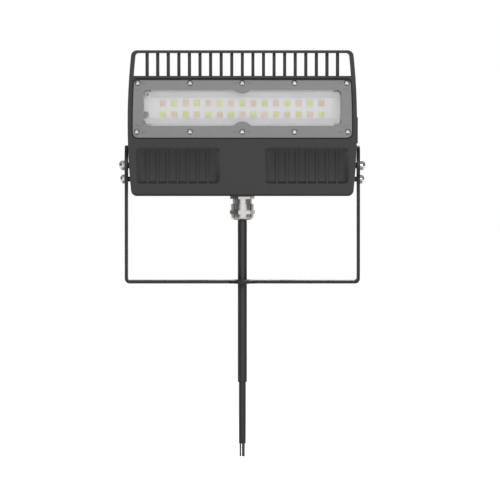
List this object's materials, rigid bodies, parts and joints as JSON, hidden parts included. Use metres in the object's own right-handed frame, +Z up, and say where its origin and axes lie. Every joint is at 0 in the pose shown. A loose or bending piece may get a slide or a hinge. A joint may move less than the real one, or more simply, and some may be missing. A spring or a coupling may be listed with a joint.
{
  "type": "floodlight",
  "caption": "LED floodlight head with an open fin grille over a framed light window and a ribbed driver box, held in a U-shaped yoke, with a cable gland and a short cable.",
  "frame": {"origin": "centre of the yoke base's underside, midway between its two mounting slots", "axes": "+X to the right seen from the front, the light faces -Y, +Z up from the base towards the head"},
  "size_m": [0.246, 0.0534, 0.4064],
  "materials": {
    "powder_grey": "cast, fine textured powder coat",
    "frame_grey": "pressed, satin painted",
    "clear_lens": "clear",
    "black_rubber": "matt",
    "grey_rubber": "matt",
    "white_tray": "sheet, satin white",
    "board_white": "solder mask",
    "led_warm": "phosphor",
    "led_cool": "phosphor",
    "stainless": "bright",
    "dark_screw": "blackened",
    "lead_red": "satin",
    "case_metal": "mill",
    "board_green": "solder mask",
    "tape_yellow": "taped",
    "cap_blue": "gloss",
    "copper_coil": "enamelled wire",
    "block_white": "moulded",
    "guard_red": "gloss",
    "earth_green": "zinc, green",
    "black_plastic": "moulded",
    "nickel": "nickel plate",
    "yoke_black": "powder coat",
    "cable_black": "matt jacket",
    "sleeve_black": "matt sleeve",
    "core_black": "insulation"
  },
  "bodies": {
    "bracket": {"yoke": "yoke_black", "yoke_grommet": "black_rubber", "supply_cable": "cable_black", "cable_sleeve": "sleeve_black", "core_wires": "core_black"},
    "head": {"housing": "powder_grey", "cooling_fins": "powder_grey", "lens_frame": "frame_grey", "frame_screws": "stainless", "lens": "clear_lens", "lens_gasket": "black_rubber", "reflector": "white_tray", "reflector_screw": "dark_screw", "led_board": "board_white", "leds_cool": "led_cool", "leds_warm": "led_warm", "board_screws": "stainless", "lead_grommet": "grey_rubber", "led_lead": "lead_red", "driver_case": "case_metal", "driver_board": "board_green", "driver_transformer": "tape_yellow", "driver_capacitors": "cap_blue", "driver_choke": "copper_coil", "driver_screws": "stainless", "terminal_block": "block_white", "surge_protector": "guard_red", "ground_screw": "earth_green", "rear_gasket": "black_rubber", "rear_cover": "powder_grey", "rear_cover_screws": "stainless", "selector_switch": "black_plastic", "selector_gasket": "black_rubber", "selector_cover": "powder_grey", "selector_screws": "stainless", "gland_washer": "black_rubber", "gland_body": "nickel", "gland_locknut": "nickel", "gland_seal": "black_rubber", "gland_nut": "nickel", "supply_tail": "sleeve_black", "tail_cores": "core_black", "pivot_bolts": "stainless", "pivot_spring_washers": "stainless", "pivot_washers": "stainless", "lock_bolts": "stainless", "lock_washers": "stainless"}
  },
  "joints": [
    {"name": "tilt", "type": "hinge", "parent": "bracket", "child": "head", "pos_m": [0, 0, 0.1177], "axis": [1, 0, 0], "range_deg": [-60, 60], "deforming": ["supply_cable", "cable_sleeve", "core_wires"]}
  ]
}
